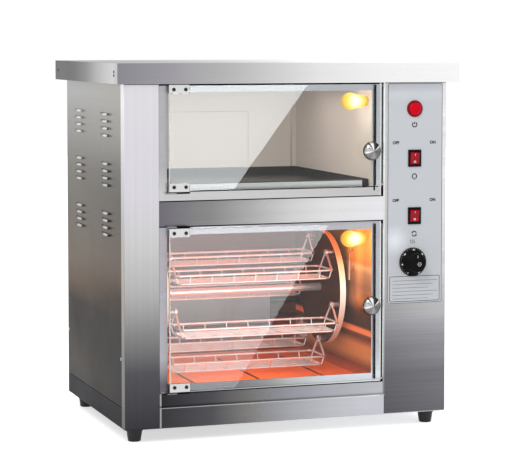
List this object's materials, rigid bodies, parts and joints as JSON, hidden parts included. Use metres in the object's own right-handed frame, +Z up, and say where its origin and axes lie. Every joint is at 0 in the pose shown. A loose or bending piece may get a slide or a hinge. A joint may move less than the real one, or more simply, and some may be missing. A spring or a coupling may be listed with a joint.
{
  "type": "sweet potato roaster",
  "caption": "Countertop stainless roaster with a lighted warming chamber over a carousel oven of hanging wire baskets, two glass doors, a control column and a crumb tray.",
  "frame": {"origin": "middle of the overall box, at the level of the feet's soles", "axes": "+Z up, the doors face -Y, +X to the right as seen from the front"},
  "size_m": [0.6246, 0.467, 0.6475],
  "materials": {
    "stainless_sheet": "horizontally brushed stainless sheet",
    "liner_steel": "satin stainless liner sheet",
    "chrome": "polished chrome plate",
    "chromed_wire": "chromed wire, heat tinted",
    "door_glass": "clear tempered glass",
    "lamp_glass": "warm white glass globe",
    "magnet_seal": "black rubber strip",
    "foot_rubber": "matt black rubber",
    "label_film": "pale blue-grey satin overlay",
    "black_plastic": "black moulded plastic",
    "red_plastic": "translucent red plastic",
    "tray_enamel": "black enamelled steel",
    "guard_paint": "pale grey heat-proof paint",
    "heater_sheath": "oxidised heating tube",
    "wool": "white glass wool board",
    "white_ceramic": null,
    "bronze": "sintered bronze",
    "copper": "bare copper tube",
    "zinc_steel": "zinc-plated steel",
    "motor_paint": "dark grey paint",
    "terminal_plastic": "cream plastic"
  },
  "bodies": {
    "cabinet": {"base_pan": "stainless_sheet", "left_side_panel": "stainless_sheet", "right_side_panel": "stainless_sheet", "rear_panel": "stainless_sheet", "left_column": "stainless_sheet", "control_column": "stainless_sheet", "middle_rail": "stainless_sheet", "top_cover": "stainless_sheet", "cover_rivets": "zinc_steel", "upper_opening_frame": "stainless_sheet", "lower_opening_frame": "stainless_sheet", "warming_liner": "liner_steel", "oven_liner": "liner_steel", "insulation_slabs": "wool", "heater_guard": "guard_paint", "heating_elements": "heater_sheath", "control_label": "label_film", "indicator_bezel": "red_plastic", "indicator_lens": "red_plastic", "rocker_housings": "black_plastic", "thermostat_body": "white_ceramic", "thermostat_probe": "copper", "lamp_sockets": "white_ceramic", "lamp_bulbs": "lamp_glass", "gear_motor": "motor_paint", "motor_bracket": "zinc_steel", "shaft_bearings": "bronze", "tray_runners": "zinc_steel", "pivot_brackets": "stainless_sheet", "feet": "foot_rubber", "cable_gland": "black_plastic", "terminal_block": "terminal_plastic", "cabinet_screws": "zinc_steel"},
    "upper_door": {"upper_door_glass": "door_glass", "upper_door_clips": "stainless_sheet", "upper_clip_screws": "zinc_steel", "upper_door_knob": "chrome", "upper_door_seal": "magnet_seal"},
    "lower_door": {"lower_door_glass": "door_glass", "lower_door_clips": "stainless_sheet", "lower_clip_screws": "zinc_steel", "lower_door_knob": "chrome", "lower_door_seal": "magnet_seal"},
    "crumb_drawer": {"crumb_tray": "stainless_sheet"},
    "warming_pan": {"warming_tray": "tray_enamel", "tray_front_rail": "stainless_sheet"},
    "carousel": {"carousel_shaft": "chrome", "left_disc": "stainless_sheet", "right_disc": "stainless_sheet", "basket_pins": "zinc_steel", "shaft_coupling": "zinc_steel"},
    "dial": {"thermostat_knob": "black_plastic"},
    "light_switch": {"light_rocker": "red_plastic"},
    "motor_switch": {"motor_rocker": "red_plastic"},
    "hanging_basket_1": {"basket_1": "chromed_wire"},
    "hanging_basket_2": {"basket_2": "chromed_wire"},
    "hanging_basket_3": {"basket_3": "chromed_wire"},
    "hanging_basket_4": {"basket_4": "chromed_wire"},
    "hanging_basket_5": {"basket_5": "chromed_wire"},
    "hanging_basket_6": {"basket_6": "chromed_wire"}
  },
  "joints": [
    {"name": "upper_door_hinge", "type": "hinge", "parent": "cabinet", "child": "upper_door", "pos_m": [-0.2145, -0.207, 0.52], "axis": [0, 0, -1], "range_deg": [0, 110]},
    {"name": "lower_door_hinge", "type": "hinge", "parent": "cabinet", "child": "lower_door", "pos_m": [-0.2145, -0.207, 0.226], "axis": [0, 0, -1], "range_deg": [0, 110]},
    {"name": "crumb_tray_slide", "type": "slide", "parent": "cabinet", "child": "crumb_drawer", "axis": [0, -1, 0], "range_m": [0, 0.28]},
    {"name": "warming_tray_lift", "type": "slide", "parent": "cabinet", "child": "warming_pan", "axis": [0, 0, 1], "range_m": [0, 0.03]},
    {"name": "carousel_spin", "type": "hinge", "parent": "cabinet", "child": "carousel", "pos_m": [-0.028, -0.0005, 0.23], "axis": [1, 0, 0], "continuous": true},
    {"name": "basket_1_swing", "type": "hinge", "parent": "carousel", "child": "hanging_basket_1", "pos_m": [-0.028, -0.06597, 0.30021], "axis": [1, 0, 0], "continuous": true},
    {"name": "basket_2_swing", "type": "hinge", "parent": "carousel", "child": "hanging_basket_2", "pos_m": [-0.028, 0.02757, 0.32181], "axis": [1, 0, 0], "continuous": true},
    {"name": "basket_3_swing", "type": "hinge", "parent": "carousel", "child": "hanging_basket_3", "pos_m": [-0.028, 0.09304, 0.2516], "axis": [1, 0, 0], "continuous": true},
    {"name": "basket_4_swing", "type": "hinge", "parent": "carousel", "child": "hanging_basket_4", "pos_m": [-0.028, 0.06497, 0.15979], "axis": [1, 0, 0], "continuous": true},
    {"name": "basket_5_swing", "type": "hinge", "parent": "carousel", "child": "hanging_basket_5", "pos_m": [-0.028, -0.02857, 0.1382], "axis": [1, 0, 0], "continuous": true},
    {"name": "basket_6_swing", "type": "hinge", "parent": "carousel", "child": "hanging_basket_6", "pos_m": [-0.028, -0.09404, 0.20841], "axis": [1, 0, 0], "continuous": true},
    {"name": "dial_turn", "type": "hinge", "parent": "cabinet", "child": "dial", "pos_m": [0.232, -0.2015, 0.2935], "axis": [0, 1, 0], "range_deg": [0, 300]},
    {"name": "light_switch_rock", "type": "hinge", "parent": "cabinet", "child": "light_switch", "pos_m": [0.235, -0.1997, 0.4775], "axis": [-1, 0, 0], "range_deg": [0, 16]},
    {"name": "motor_switch_rock", "type": "hinge", "parent": "cabinet", "child": "motor_switch", "pos_m": [0.235, -0.1997, 0.3755], "axis": [-1, 0, 0], "range_deg": [0, 16]}
  ],
  "couplings": [
    {"joint": "basket_1_swing", "follows": "carousel_spin", "ratio": -1},
    {"joint": "basket_2_swing", "follows": "carousel_spin", "ratio": -1},
    {"joint": "basket_3_swing", "follows": "carousel_spin", "ratio": -1},
    {"joint": "basket_4_swing", "follows": "carousel_spin", "ratio": -1},
    {"joint": "basket_5_swing", "follows": "carousel_spin", "ratio": -1},
    {"joint": "basket_6_swing", "follows": "carousel_spin", "ratio": -1}
  ]
}
